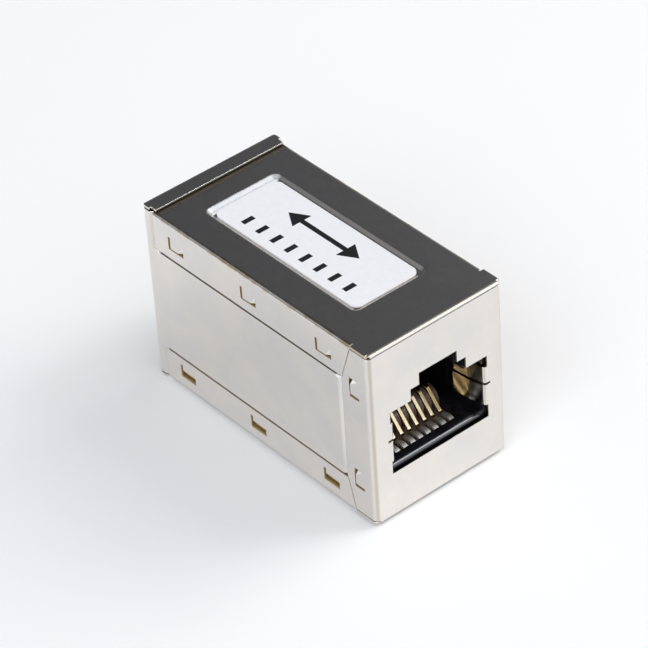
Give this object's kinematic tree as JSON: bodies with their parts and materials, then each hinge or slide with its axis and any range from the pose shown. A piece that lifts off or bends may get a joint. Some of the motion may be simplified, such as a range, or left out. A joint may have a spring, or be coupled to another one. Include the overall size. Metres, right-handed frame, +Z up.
{
  "type": "rj45 inline coupler",
  "caption": "Shielded inline network coupler: a modular jack at each end, a folded sheet metal shield with lanced locking tabs and a label in a recess on top.",
  "frame": {"origin": "bottom centre of the coupler, on the plane that the rear shell's lower strip rests on", "axes": "+Y along the plug axis from the front port to the rear port, +X across, +Z up with both latch slots up"},
  "size_m": [0.0172, 0.0346, 0.0217],
  "materials": {
    "shield": "nickel plated, satin bright",
    "label": "printed white film",
    "board": "green solder mask",
    "housing": "black moulded, glossy",
    "comb": "black moulded, glossy",
    "contact": "gold plated where a plug touches, nickel at the bend"
  },
  "bodies": {
    "root": {"front_shell": "shield", "rear_shell": "shield", "label": "label", "circuit_board": "board", "front_housing": "housing", "rear_housing": "housing", "front_carrier": "comb", "rear_carrier": "comb", "front_contact_1": "contact", "front_contact_2": "contact", "front_contact_3": "contact", "front_contact_4": "contact", "front_contact_5": "contact", "front_contact_6": "contact", "front_contact_7": "contact", "front_contact_8": "contact", "rear_contact_1": "contact", "rear_contact_2": "contact", "rear_contact_3": "contact", "rear_contact_4": "contact", "rear_contact_5": "contact", "rear_contact_6": "contact", "rear_contact_7": "contact", "rear_contact_8": "contact"}
  },
  "joints": []
}
